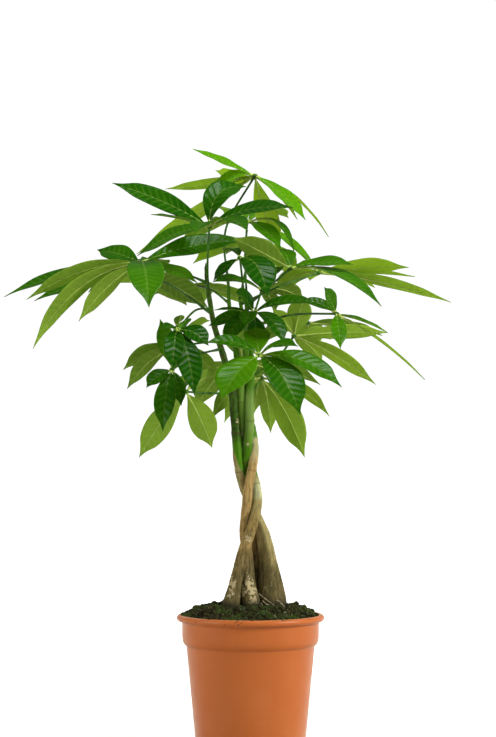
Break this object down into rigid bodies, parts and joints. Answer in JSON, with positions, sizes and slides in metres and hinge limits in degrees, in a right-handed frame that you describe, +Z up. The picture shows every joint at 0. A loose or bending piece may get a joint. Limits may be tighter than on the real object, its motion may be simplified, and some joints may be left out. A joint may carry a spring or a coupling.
{
  "type": "potted money tree",
  "caption": "Braided money tree with hand-shaped leaves on long stalks, planted in a tapered nursery pot with a rolled lip.",
  "frame": {"origin": "centre of the pot's flat base, on the surface that the pot stands on", "axes": "+Z up, -Y towards the front of the plant, +X to the right of someone who looks at the front"},
  "size_m": [0.5226, 0.4141, 0.6958],
  "materials": {
    "pot_plastic": "satin",
    "soil": "matte",
    "bark": "matte",
    "leaf": "satin"
  },
  "bodies": {
    "root": {"pot": "pot_plastic", "soil": "soil", "stem_left": "bark", "stem_middle": "bark", "stem_right": "bark", "stem_back": "bark", "leaf_left_front": "leaf", "leaf_left_back": "leaf", "leaf_upper_left": "leaf", "leaf_top": "leaf", "leaf_upper_back": "leaf", "leaf_right_front": "leaf", "leaf_right_back": "leaf", "leaf_right_small": "leaf", "leaf_right_middle": "leaf", "leaf_centre_back": "leaf", "leaf_centre_upper": "leaf", "leaf_centre_low": "leaf", "leaf_front": "leaf", "leaf_low_back": "leaf", "leaf_left_low": "leaf", "leaf_left_middle": "leaf", "leaf_low_left": "leaf", "leaf_left_behind": "leaf", "leaf_rear_left": "leaf", "leaf_rear_right": "leaf", "leaf_rear_low": "leaf", "leaf_rear_top": "leaf"}
  },
  "joints": []
}
